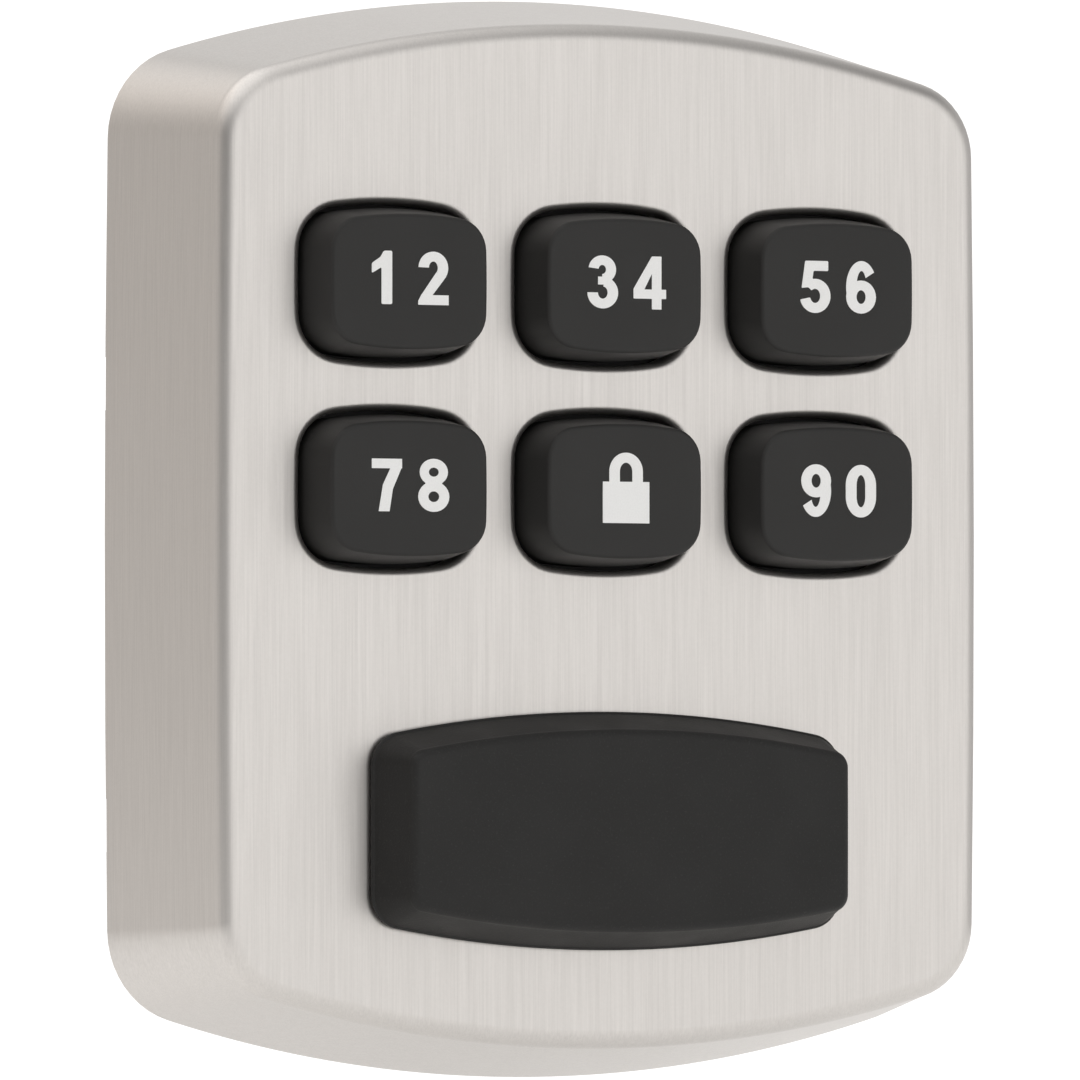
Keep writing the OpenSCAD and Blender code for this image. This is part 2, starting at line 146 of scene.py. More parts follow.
class MetalLook(bpy.types.PropertyGroup):
    nickel: colour("Nickel", "Colour of the satin nickel plate", (0.662, 0.635, 0.612))
    streak: length("Streak", "Width of the brushing's lines", 0.00012)
    streak_ratio: FloatProperty(name="Streak ratio", description="Length of a line against its width",
                                default=70.0, min=1.0)
    roughness: amount("Roughness", "Roughness of the brushed plate", 0.38)
    depth: amount("Depth", "Strength of the brushing's relief", 0.12)


class RubberLook(bpy.types.PropertyGroup):
    key: colour("Keys", "Colour of the keys", (0.0205, 0.0198, 0.0192))
    cover: colour("Cover", "Colour of the cover", (0.0135, 0.0131, 0.0127))
    grain: length("Grain", "Size of the moulded grain", 0.00011)
    legend: colour("Legends", "Colour of the printed legends", (0.87, 0.87, 0.865))


class StudioSettings(bpy.types.PropertyGroup):
    distance: length("Distance", "Camera distance", 1.2)
    yaw: FloatProperty(name="Yaw", description="Camera turn to the left of the face",
                       default=math.radians(28.5), subtype="ANGLE")
    pitch: FloatProperty(name="Pitch", description="How far the camera looks up",
                         default=math.radians(1.28), subtype="ANGLE")
    target: FloatVectorProperty(name="Target", description="Point the camera looks at",
                                default=(0.00153, 0.0, 0.00966), size=3, subtype="TRANSLATION")
    lens: FloatProperty(name="Lens", description="Focal length in millimetres", default=524.0, min=1.0)
    ambient: FloatProperty(name="Ambient", description="Brightness of the room", default=0.56, min=0.0)
    floor: colour("Floor", "Colour of the floor", (0.93, 0.93, 0.925))
    floor_drop: length("Floor drop", "Depth of the floor below the unit, clear of the open cover", 0.02)


class KeypadUnitSettings(bpy.types.PropertyGroup):
    housing: PointerProperty(type=HousingSizes)
    keys: PointerProperty(type=KeySizes)
    legends: PointerProperty(type=LegendSizes)
    cover: PointerProperty(type=CoverSizes)
    metal: PointerProperty(type=MetalLook)
    rubber: PointerProperty(type=RubberLook)
    studio: PointerProperty(type=StudioSettings)


# ---- mesh tools ----

# ease: the share of an outline's inset that its corners give up in radius
Barrel = namedtuple("Barrel", "half_width half_height arch side corner ease", defaults=(1.0,))
Level = namedtuple("Level", "y sides ends")


def corner_middle(shape):
    """Middle of the corner arc that touches an arch and a side from within."""
    arch = Vector((0, shape.half_height - shape.arch))
    side = Vector((shape.half_width - shape.side, 0))
    to_arch, to_side = shape.arch - shape.corner, shape.side - shape.corner
    apart = (side - arch).length
    along = (side - arch) / apart
    near = (to_arch ** 2 - to_side ** 2 + apart ** 2) / (2 * apart)
    return arch + near * along + math.sqrt(to_arch ** 2 - near ** 2) * Vector((along.y, -along.x))


def barrel_ring(bm, shape, level, middle, arch_steps=20, corner_steps=10):
    """Sweeps one closed barrel outline: arched ends, bowed sides, rounded corners."""
    shape = Barrel(shape.half_width - level.sides, shape.half_height - level.ends,
                   shape.arch - level.ends, shape.side - level.sides,
                   shape.corner - shape.ease * (level.sides + level.ends) / 2)
    verts_before, edges_before = set(bm.verts), set(bm.edges)
    corner = corner_middle(shape)
    arch = Vector((0, shape.half_height - shape.arch))
    side = Vector((shape.half_width - shape.side, 0))
    top = math.atan2(*(corner - arch))
    end = math.pi / 2 - math.atan2((corner - side).y, (corner - side).x)
    tip = bm.verts.new((0, level.y, shape.half_height))
    for centre, angle, steps in ((arch, top, arch_steps), (corner, end - top, corner_steps),
                                 (side, math.pi / 2 - end, 2)):
        swept = bmesh.ops.spin(bm, geom=[tip], cent=(centre.x, level.y, centre.y), axis=(0, 1, 0),
                               angle=angle, steps=steps)
        tip = next(v for v in swept["geom_last"] if isinstance(v, bmesh.types.BMVert))
    for axis in "XZ":
        made = [v for v in bm.verts if v not in verts_before] + \
               [e for e in bm.edges if e not in edges_before]
        bmesh.ops.mirror(bm, geom=made, matrix=Matrix(), merge_dist=1e-7, axis=axis)
    bmesh.ops.translate(bm, verts=[v for v in bm.verts if v not in verts_before],
                        vec=(middle[0], 0, middle[1]))
    return [e for e in bm.edges if e not in edges_before]


def close(bm, edges):
    return bmesh.ops.contextual_create(bm, geom=edges)["faces"]


def loft(bm, shape, levels, middle, **steps):
    """Bridges one outline after another and closes both ends."""
    rings = [barrel_ring(bm, shape, level, middle, **steps) for level in levels]
    for near, far in zip(rings, rings[1:]):
        bmesh.ops.bridge_loops(bm, edges=near + far)
    return close(bm, rings[0]) + close(bm, rings[-1])


def rounding(steps=8):
    """Depth and inset of a quarter round, from the wall to the crown."""
    for i in range(steps + 1):
        angle = math.pi / 2 * i / steps
        yield 1 - math.sin(angle), 1 - math.cos(angle)


def lathe(bm, profile, middle, steps=96):
    """Spins a profile of (radius, depth) pairs round an axis along the depth."""
    chain = [bm.verts.new((middle[0] + r, y, middle[1])) for r, y in profile]
    edges = [bm.edges.new(pair) for pair in zip(chain, chain[1:])]
    bmesh.ops.spin(bm, geom=chain + edges, cent=(middle[0], 0, middle[1]), axis=(0, 1, 0),
                   angle=math.tau, steps=steps, use_merge=True)
    bmesh.ops.remove_doubles(bm, verts=bm.verts, dist=1e-8)


def block(bm, low, high):
    size, centre = Vector(high) - Vector(low), (Vector(high) + Vector(low)) / 2
    bmesh.ops.create_cube(bm, size=1,
                          matrix=Matrix.Translation(centre) @ Matrix.Diagonal(size).to_4x4())


def rod(bm, x, z, radius, front, back, steps=48):
    bmesh.ops.create_cone(bm, cap_ends=True, segments=steps, radius1=radius, radius2=radius,
                          depth=back - front,
                          matrix=Matrix.Translation((x, (front + back) / 2, z))
                          @ Matrix.Rotation(math.pi / 2, 4, "X"))


def rested(bm, name):
    """Turns a bmesh into an object with its faces outwards."""
    bmesh.ops.remove_doubles(bm, verts=bm.verts, dist=1e-7)
    bmesh.ops.recalc_face_normals(bm, faces=bm.faces)
    mesh = bpy.data.meshes.new(name)
    bm.to_mesh(mesh)
    bm.free()
    obj = bpy.data.objects.new(name, mesh)
    bpy.context.scene.collection.objects.link(obj)
    return obj


def combine(solid, tool, operation="DIFFERENCE"):
    """Joins or cuts two closed bmeshes and gives back the result as one."""
    first, second = rested(solid, "solid"), rested(tool, "tool")
    step = first.modifiers.new("Combine", "BOOLEAN")
    step.operation, step.object, step.solver = operation, second, "EXACT"
    shaped = first.evaluated_get(bpy.context.evaluated_depsgraph_get())
    result = bmesh.new()
    result.from_mesh(shaped.to_mesh())
    for obj in (first, second):
        mesh = obj.data
        bpy.data.objects.remove(obj)
        bpy.data.meshes.remove(mesh)
    if not result.faces:
        raise RuntimeError("a cut left nothing")
    return result


def piece(bm, name, body, finish, stands_for=(), smooth=40):
    """A finished piece: smooth, weighted, painted, and riding on its body."""
    obj = rested(bm, name)
    obj.data.shade_smooth()
    obj.data.set_sharp_from_angle(angle=math.radians(smooth))
    weighted = obj.modifiers.new("Weighted", "WEIGHTED_NORMAL")
    weighted.keep_sharp = True
    obj.data.materials.append(finish)
    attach(obj, body)
    if stands_for:
        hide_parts(*stands_for)
    return obj


def key_middle(name):
    low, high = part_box("key_" + name)
    return ((low.x + high.x) / 2, (low.z + high.z) / 2)


# ---- legends ----

def arc(middle, outer, stroke, start, sweep, steps=28):
    """A curved stroke: a sector between two ovals, swept clockwise from start, in degrees."""
    bm = bmesh.new()
    rails = []
    full = sweep >= 360
    for shrink in (0, 1):
        before = set(bm.verts), set(bm.edges)
        first = bm.verts.new((math.cos(math.radians(start)), 0, math.sin(math.radians(start))))
        bmesh.ops.spin(bm, geom=[first], cent=(0, 0, 0), axis=(0, 1, 0),
                       angle=math.radians(sweep), steps=steps, use_merge=full)
        verts = [v for v in bm.verts if v not in before[0]]
        bmesh.ops.scale(bm, verts=verts, vec=(outer[0] - shrink * stroke[0], 1,
                                              outer[1] - shrink * stroke[1]))
        bmesh.ops.translate(bm, verts=verts, vec=(middle[0], 0, middle[1]))
        rails += [e for e in bm.edges if e not in before[1]]
    bmesh.ops.bridge_loops(bm, edges=rails)
    return bm


def plate(*corners):
    """A straight stroke from a few corners."""
    bm = bmesh.new()
    bm.faces.new([bm.verts.new((x, 0, z)) for x, z in corners])
    return bm


def bar(x0, x1, z0, z1):
    return plate((x0, z0), (x1, z0), (x1, z1), (x0, z1))


def six():
    return [arc((0.335, 0.315), (0.325, 0.315), (0.225, 0.185), 0, 360),
            arc((0.345, 0.5), (0.335, 0.5), (0.225, 0.19), 205, 170)]


def nine():
    strokes = six()
    for bm in strokes:
        bmesh.ops.rotate(bm, verts=bm.verts, cent=(0.335, 0, 0.5),
                         matrix=Matrix.Rotation(math.pi, 3, "Y"))
    return strokes


GLYPHS = {
    "0": lambda: [arc((0.33, 0.61), (0.33, 0.39), (0.235, 0.195), 180, 180),
                  arc((0.33, 0.39), (0.33, 0.39), (0.235, 0.195), 0, 180),
                  bar(0, 0.235, 0.38, 0.62), bar(0.425, 0.66, 0.38, 0.62)],
    "1": lambda: [plate((0.205, 0), (0.43, 0), (0.43, 1), (0.255, 1), (0.18, 0.88), (0, 0.765),
                        (0, 0.575), (0.205, 0.69))],
    "2": lambda: [arc((0.32, 0.695), (0.315, 0.305), (0.22, 0.185), 178, 215),
                  plate((0.39, 0.62), (0.59, 0.53), (0.29, 0.17), (0.05, 0.165)),
                  plate((0, 0), (0.645, 0), (0.645, 0.185), (0.065, 0.185), (0, 0.075))],
    "3": lambda: [arc((0.31, 0.735), (0.295, 0.265), (0.215, 0.18), 172, 262),
                  arc((0.32, 0.30), (0.33, 0.30), (0.225, 0.185), 82, 262),
                  bar(0.22, 0.4, 0.45, 0.6)],
    "4": lambda: [bar(0.395, 0.6, 0, 1), bar(0, 0.7, 0.2, 0.375),
                  plate((0, 0.3), (0.19, 0.3), (0.42, 0.72), (0.5, 1), (0.395, 1), (0, 0.385))],
    "5": lambda: [bar(0.1, 0.6, 0.795, 0.985),
                  plate((0.02, 0.465), (0.23, 0.49), (0.3, 0.9), (0.1, 0.985)),
                  arc((0.315, 0.32), (0.335, 0.325), (0.225, 0.19), 133, 300)],
    "6": six,
    "7": lambda: [bar(0, 0.64, 0.805, 0.985),
                  plate((0.145, 0), (0.375, 0), (0.445, 0.42), (0.64, 0.84), (0.42, 0.86),
                        (0.235, 0.5))],
    "8": lambda: [arc((0.33, 0.745), (0.3, 0.25), (0.195, 0.165), 0, 360),
                  arc((0.33, 0.285), (0.33, 0.285), (0.215, 0.185), 0, 360)],
    "9": nine,
}


def padlock(size):
    """A closed padlock, one unit to the digit height."""
    half, body, shackle, stroke = 0.5, 0.78, 0.36, 0.225
    return [bar(-half, half, 0, body),
            arc((0, 0.97), (shackle, 0.36), (stroke, 0.19), 180, 180),
            bar(-shackle, stroke - shackle, body - 0.1, 0.975),
            bar(shackle - stroke, shackle, body - 0.1, 0.975)]


def printed(strokes, size, sizes, corner, front):
    """Fuses flat strokes into one thin solid of the given size at a corner of the print."""
    fused = None
    for bm in strokes:
        flat = list(bm.faces)
        deep = bmesh.ops.extrude_face_region(bm, geom=flat, use_keep_orig=True)["geom"]
        bmesh.ops.translate(bm, verts=[v for v in deep if isinstance(v, bmesh.types.BMVert)],
                            vec=(0, sizes.depth / size, 0))
        fused = combine(fused, bm, "UNION") if fused else bm
    bmesh.ops.scale(fused, verts=fused.verts, vec=(size, size, size))
    bmesh.ops.translate(fused, verts=fused.verts, vec=(corner[0], front, corner[1]))
    bmesh.ops.dissolve_limit(fused, angle_limit=math.radians(1), verts=fused.verts,
                             edges=fused.edges)
    turned = [e for e in fused.edges
              if abs(e.verts[0].co.y - e.verts[1].co.y) > sizes.depth / 2
              and e.calc_face_angle(0) > math.radians(30)]
    bmesh.ops.bevel(fused, geom=turned, offset=sizes.softness, offset_type="OFFSET", segments=3,
                    profile=0.5, affect="EDGES", clamp_overlap=True, material=-1)
    return fused


def merged(parts):
    """Puts bmeshes that don't touch into one."""
    whole = bmesh.new()
    for bm in parts:
        mesh = bpy.data.meshes.new("part")
        bm.to_mesh(mesh)
        bm.free()
        whole.from_mesh(mesh)
        bpy.data.meshes.remove(mesh)
    return whole


# ---- finishes ----

class Socket:
    """A shader socket that can stand in a Python expression."""

    def __init__(self, finish, link):
        self.finish, self.link = finish, link

    def _with(self, operation, *values):
        node = self.finish.tree.nodes.new("ShaderNodeMath")
        node.operation = operation
        for slot, value in zip(node.inputs, values):
            self.finish.feed(slot, value)
        return Socket(self.finish, node.outputs[0])

    def __add__(self, other):
        return self._with("ADD", self, other)

    __radd__ = __add__

    def __sub__(self, other):
        return self._with("SUBTRACT", self, other)

    def __rsub__(self, other):
        return self._with("SUBTRACT", other, self)

    def __mul__(self, other):
        return self._with("MULTIPLY", self, other)

    __rmul__ = __mul__

    def __truediv__(self, other):
        return self._with("DIVIDE", self, other)

    def __rtruediv__(self, other):
        return self._with("DIVIDE", other, self)

    def __pow__(self, other):
        return self._with("POWER", self, other)

    def at_least(self, other):
        return self._with("MAXIMUM", self, other)


class Finish:
    """A node tree that is written as expressions."""

    def __init__(self, tree):
        self.tree = tree
        tree.nodes.clear()

    def feed(self, slot, value):
        if isinstance(value, Socket):
            self.tree.links.new(value.link, slot)
        elif isinstance(slot.default_value, float) or not hasattr(value, "__len__"):
            slot.default_value = value
        else:
            slot.default_value = tuple(value)[:len(slot.default_value)] if \
                len(value) >= len(slot.default_value) else (*value, 1.0)

    def node(self, kind, settings=None, inputs=None, output=0):
        node = self.tree.nodes.new(kind)
        for name, value in (settings or {}).items():
            setattr(node, name, value)
        for name, value in (inputs or {}).items():
            self.feed(node.inputs[name], value)
        return Socket(self, node.outputs[output])

    def point(self):
        return self.node("ShaderNodeTexCoord", output="Object")

    def stretched(self, point, scale):
        return self.node("ShaderNodeVectorMath", {"operation": "MULTIPLY"}, {0: point, 1: scale})

    def noise(self, point, scale=1.0, detail=2.0, roughness=0.5, distortion=0.0):
        return self.node("ShaderNodeTexNoise", None,
                         {"Vector": point, "Scale": scale, "Detail": detail,
                          "Roughness": roughness, "Distortion": distortion})

    def span(self, value, low, high, to_low=0.0, to_high=1.0, smooth=False):
        return self.node("ShaderNodeMapRange",
                         {"interpolation_type": "SMOOTHSTEP" if smooth else "LINEAR"},
                         {"Value": value, "From Min": low, "From Max": high,
                          "To Min": to_low, "To Max": to_high})

    def blend(self, factor, first, second):
        node = self.tree.nodes.new("ShaderNodeMix")
        node.data_type = "RGBA"
        self.feed(node.inputs[0], factor)
        self.feed(node.inputs[6], first)
        self.feed(node.inputs[7], second)
        return Socket(self, node.outputs[2])

    def relief(self, height, depth, strength=1.0):
        return self.node("ShaderNodeBump", None,
                         {"Height": height, "Distance": depth, "Strength": strength})

    def surface(self, **inputs):
        """Ends a material in one shader whose sockets are named in the call."""
        shader = self.tree.nodes.new("ShaderNodeBsdfPrincipled")
        for name, value in inputs.items():
            self.feed(shader.inputs[name.replace("_", " ")], value)
        end = self.tree.nodes.new("ShaderNodeOutputMaterial")
        self.tree.links.new(shader.outputs[0], end.inputs["Surface"])


def material(name):
    made = bpy.data.materials.new(name)
    made.use_nodes = True
    return made, Finish(made.node_tree)


def darker(tone, share):
    return tuple(c * share for c in tone)


def brushed(name, tone, look, along=2, roughness=None, depth=None):
    """Plate with fine lines brushed along one axis, in long and short strokes, with light wear."""
    made, finish = material(name)
    across, lengthwise = 1 / look.streak, 1 / (look.streak * look.streak_ratio)
    scale = tuple(lengthwise if axis == along else across for axis in range(3))
    here = finish.point()
    fine = finish.noise(finish.stretched(here, scale), 1.0, 3.0, 0.6)
    broad = finish.noise(finish.stretched(here, darker(scale, 0.22)), 1.0, 2.0, 0.5)
    cloud = finish.noise(here, 55.0, 2.0, 0.5)
    grain = finish.noise(here, 0.55 / look.streak, 1.0, 0.5)
    streak = fine * 0.8 + broad * 0.2
    tint = finish.span(streak + (grain - 0.5) * 0.18, 0.33, 0.67)
    rough = look.roughness if roughness is None else roughness
    finish.surface(
        Base_Color=finish.blend(tint, darker(tone, 0.94), darker(tone, 1.03)),
        Metallic=1.0,
        Roughness=(streak - 0.5) * -0.22 + (cloud - 0.5) * 0.05 + rough,
        Normal=finish.relief(streak + grain * 0.12, 0.00002,
                             look.depth if depth is None else depth))
    return made


def cast(name, tone, roughness=0.5, grain=0.0004, metallic=1.0, depth=0.00004):
    """Cast or plated metal with a pebbled skin, faint clouds and duller patches."""
    made, finish = material(name)
    here = finish.point()
    pebble = finish.noise(here, 1 / grain, 4.0, 0.6)
    cloud = finish.noise(here, 120.0, 3.0, 0.55)
    finish.surface(
        Base_Color=finish.blend(finish.span(pebble * 0.5 + cloud * 0.5, 0.35, 0.65),
                                darker(tone, 0.82), darker(tone, 1.06)),
        Metallic=metallic,
        Roughness=finish.span(cloud + pebble * 0.3, 0.4, 0.9, roughness - 0.08, roughness + 0.12),
        Normal=finish.relief(pebble, depth, 0.6))
    return made


def moulded(name, tone, grain, roughness=0.55, speckle=0.25, depth=0.000012, specular=0.3):
    """Moulded rubber or plastic: an even grain, tiny pale specks and slightly shinier wear."""
    made, finish = material(name)
    here = finish.point()
    fine = finish.noise(here, 1 / grain, 3.0, 0.65)
    cloud = finish.noise(here, 180.0, 2.0, 0.5)
    specks = finish.span(fine, 0.56, 0.72)
    finish.surface(
        Base_Color=finish.blend(specks * speckle + (cloud - 0.5) * 0.2, tone,
                                tuple(min(1.0, c * 2.1 + 0.01) for c in tone)),
        Roughness=finish.span(cloud + fine * 0.4, 0.5, 0.9, roughness - 0.05, roughness + 0.07),
        Specular_IOR_Level=specular,
        Normal=finish.relief(fine, depth, 0.8))
    return made


def ink(name, tone):
    """Printed ink: nearly flat, with a thin weave of pinholes and a soft sheen."""
    made, finish = material(name)
    here = finish.point()
    pores = finish.noise(here, 9000.0, 3.0, 0.6)
    finish.surface(
        Base_Color=finish.blend(finish.span(pores, 0.3, 0.7), darker(tone, 0.94), tone),
        Roughness=finish.span(pores, 0.3, 0.7, 0.5, 0.62),
        Normal=finish.relief(pores, 0.000004, 0.5))
    return made


def laminate(name, tone):
    """Solder mask over copper: bare laminate, a raised web of tracks and a glossy coat."""
    made, finish = material(name)
    here = finish.point()
    tracks = finish.node("ShaderNodeTexBrick", {"offset": 0.37, "squash": 0.6},
                         {"Vector": finish.node("ShaderNodeCombineXYZ", None, {
                             "X": finish.node("ShaderNodeSeparateXYZ", None, {0: here}, "X"),
                             "Y": finish.node("ShaderNodeSeparateXYZ", None, {0: here}, "Z")}),
                          "Scale": 260.0, "Mortar Size": 0.03, "Mortar Smooth": 0.2},
                         output="Fac")
    weave = finish.noise(here, 3000.0, 2.0, 0.5)
    finish.surface(
        Base_Color=finish.blend(tracks * 0.7 + (weave - 0.5) * 0.2, tone,
                                (tone[0] * 2 + 0.02, tone[1] * 1.6, tone[2] * 1.5)),
        Roughness=finish.span(weave, 0.3, 0.7, 0.22, 0.34),
        Coat_Weight=0.4,
        Normal=finish.relief(tracks + weave * 0.1, 0.00002, 0.5))
    return made


def slot_tone(slot):
    return next(m["base_color"] for m in frame["record"]["materials"] if m["slot"] == slot)


FINISHES = {}


def finish_for(slot):
    """The finish of one material slot, made once."""
    settings = bpy.context.scene.keypad_unit
    metal, rubber = settings.metal, settings.rubber
    tone = slot_tone(slot)
    makers = {
        "satin_nickel": lambda: brushed(slot, metal.nickel, metal),
        "key_rubber": lambda: moulded("key_silicone", rubber.key, rubber.grain, 0.5, 0.2),
        "cover_rubber": lambda: moulded("cover_moulding", rubber.cover, rubber.grain * 1.6, 0.55,
                                        0.55, 0.00003),
        "seal_rubber": lambda: moulded("seal_foam", tone, 0.0006, 0.8, 0.3, 0.0001),
        "black_plastic": lambda: moulded("black_moulding", tone, 0.0002),
        "ivory_plastic": lambda: moulded("ivory_moulding", tone, 0.0003, 0.45, 0.1),
        "board_laminate": lambda: laminate("solder_mask", tone),
        "led_resin": lambda: moulded("led_lens", tone, 0.0001, 0.2, 0.1),
        "chip_resin": lambda: moulded("chip_body", tone, 0.00015, 0.5, 0.2),
        "zinc_plated_steel": lambda: cast("bright_zinc", tone, 0.28, 0.0003, 1.0, 0.00001),
        "cast_zinc": lambda: cast("cast_zinc_skin", tone, 0.48, 0.0005),
        "steel": lambda: brushed("machined_steel", tone, metal, along=1, roughness=0.3),
        "spring_steel": lambda: cast("blued_wire", tone, 0.35, 0.0001, 1.0, 0.000005),
        "nickel_plated_brass": lambda: brushed("turned_nickel", tone, metal, along=1,
                                               roughness=0.28, depth=0.1),
        "brass": lambda: cast("machined_brass", tone, 0.3, 0.0002, 1.0, 0.000005),
    }
    if slot not in FINISHES:
        FINISHES[slot] = makers[slot]()
    return FINISHES[slot]


# ---- operators ----

class KEYPAD_OT_finishes(bpy.types.Operator):
    """Give every carried-over part the finish of its material slot"""
    bl_idname = "keypad.finishes"
    bl_label = "Finish Carried-over Parts"

    def execute(self, context):
        for obj in frame["nodes"].values():
            for place in obj.material_slots:
                place.material = finish_for(place.material.name.split(".")[0])
        return {"FINISHED"}


class KEYPAD_OT_housing(bpy.types.Operator):
    """Build the die-cast housing with its soft-lipped openings"""
    bl_idname = "keypad.housing"
    bl_label = "Build Housing"

    def execute(self, context):
        sizes, keys = context.scene.keypad_unit.housing, context.scene.keypad_unit.keys
        shape = Barrel((HOUSING_HIGH.x - HOUSING_LOW.x) / 2, (HOUSING_HIGH.z - HOUSING_LOW.z) / 2,
                       sizes.arch_radius, sizes.side_radius, sizes.corner_radius, 0.5)
        side, end, r = sizes.side_lean, sizes.end_lean, sizes.rounding
        lean = (INNER - RIM) / (FACE + r - RIM)
        levels = [Level(INNER, sizes.wall + side * lean, sizes.wall + end * lean),
                  Level(RIM, sizes.wall, sizes.wall),
                  Level(RIM, sizes.rim_break, sizes.rim_break),
                  Level(RIM - sizes.rim_break, 0, 0)]
        levels += [Level(FACE + r * depth, side + r * inset, end + r * inset)
                   for depth, inset in rounding(10)]
        shell = bmesh.new()
        loft(shell, shape, levels, (0, MIDDLE_Z), arch_steps=30)
        bosses = bmesh.new()
        for node, radius in (("board_screws", 0.002), ("plate_screws", 0.0026),
                             ("cylinder_screws", 0.0031)):
            low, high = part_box(node)
            back = {"board_screws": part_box("circuit_board")[0].y,
                    "plate_screws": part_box("back_plate")[0].y,
                    "cylinder_screws": high.y - 0.003}[node]
            for x, z in screw_places(node):
                rod(bosses, x, z, radius, INNER - 0.0003, back)
        shell = combine(shell, bosses, "UNION")
        cutters = bmesh.new()
        key = Barrel(keys.width / 2, keys.height / 2, keys.arch_radius, keys.side_radius,
                     keys.corner_radius)
        for name in KEY_NAMES:
            opening = [Level(INNER + 0.001, -keys.gap, -keys.gap)]
            opening += [Level(FACE + sizes.lip * depth, -keys.gap - sizes.lip * inset,
                              -keys.gap - sizes.lip * inset) for depth, inset in rounding(8)]
            opening.append(Level(FACE - 0.001, -keys.gap - sizes.lip, -keys.gap - sizes.lip))
            loft(cutters, key, opening, key_middle(name))
        nose = 0.0079
        lathe(cutters, [(0, INNER + 0.001), (nose, INNER + 0.001), (nose, FACE + 0.0003),
                        (nose + 0.0003, FACE), (nose + 0.0003, FACE - 0.001), (0, FACE - 0.001)],
              (0, AXIS_Z))
        pivot_low, pivot_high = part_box("cover_pivot")
        rod(cutters, (pivot_low.x + pivot_high.x) / 2, AXIS_Z, 0.002, FACE - 0.001, INNER + 0.001)
        for flank in (-1, 1):
            for z in (MIDDLE_Z + 0.0113, MIDDLE_Z - 0.0219):
                block(cutters, (min(flank * 0.0358, flank * 0.0362), RIM - 0.0002, z - 0.002),
                      (max(flank * 0.0358, flank * 0.0362), RIM + 0.0002, z + 0.002))
        shell = combine(shell, cutters)
        piece(shell, "housing_shell", "lock_body", finish_for("satin_nickel"),
              ["housing"])
        return {"FINISHED"}


def screw_places(node):
    """Places of a set of screws that is mirrored left and right."""
    low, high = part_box(node)
    if node == "board_screws":
        inset = 0.0014
        return [(s * (high.x - inset), z) for s in (-1, 1) for z in (low.z + inset, high.z - inset)]
    if node == "plate_screws":
        inset = 0.0022
        return [(s * (high.x - inset), low.z + inset) for s in (-1, 1)] + \
               [(s * 0.022, high.z - inset) for s in (-1, 1)]
    return [(s * (high.x - 0.0022), (low.z + high.z) / 2) for s in (-1, 1)]


class KEYPAD_OT_keys(bpy.types.Operator):
    """Build the six silicone keys with soft crowns and retaining flanges"""
    bl_idname = "keypad.keys"
    bl_label = "Build Keys"

    def execute(self, context):
        sizes = context.scene.keypad_unit.keys
        shape = Barrel(sizes.width / 2, sizes.height / 2, sizes.arch_radius, sizes.side_radius,
                       sizes.corner_radius)
        for name in KEY_NAMES:
            low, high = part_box("key_" + name)
            crown, r = low.y + sizes.dome, sizes.edge
            levels = [Level(high.y - 0.0006, 0, 0), Level(FACE, 0, 0)]
            levels += [Level(crown + r * depth, sizes.draft + r * inset, sizes.draft + r * inset)
                       for depth, inset in rounding(8)]
            for share in (0.3, 0.6, 1.0):
                inset = sizes.draft + r + 0.0018 * share
                levels.append(Level(crown - sizes.dome * math.sin(share * math.pi / 2),
                                    inset, inset))
            bm = bmesh.new()
            loft(bm, shape, levels, key_middle(name), arch_steps=14, corner_steps=8)
            flange = bmesh.new()
            block(flange, (low.x, high.y - 0.0009, low.z), high)
            bmesh.ops.bevel(flange, geom=flange.edges[:], offset=0.0002, segments=2, profile=0.5,
                            affect="EDGES", material=-1)
            bm = combine(bm, flange, "UNION")
            piece(bm, "keycap_" + name, "button_" + name, finish_for("key_rubber"),
                  ["key_" + name])
        return {"FINISHED"}


class KEYPAD_OT_legends(bpy.types.Operator):
    """Print two digits on five keys and a padlock on the sixth"""
    bl_idname = "keypad.legends"
    bl_label = "Print Legends"

    def execute(self, context):
        sizes = context.scene.keypad_unit.legends
        paint = ink("legend_ink", context.scene.keypad_unit.rubber.legend)
        front = KEY_FRONT - sizes.proud
        for name in KEY_NAMES:
            x, z = key_middle(name)
            z += sizes.lift
            if name == "lock":
                parts = [printed(padlock(sizes.height), sizes.height, sizes,
                                 (x, z - sizes.height * 0.665), front)]
            else:
                parts = []
                for digit, shift in zip(name, (-0.5, 0.5)):
                    left = x + shift * sizes.pitch - 0.33 * sizes.height
                    parts.append(printed(GLYPHS[digit](), sizes.height, sizes,
                                         (left, z - sizes.height / 2), front))
            piece(merged(parts), "legend_" + name, "button_" + name, paint)
        return {"FINISHED"}


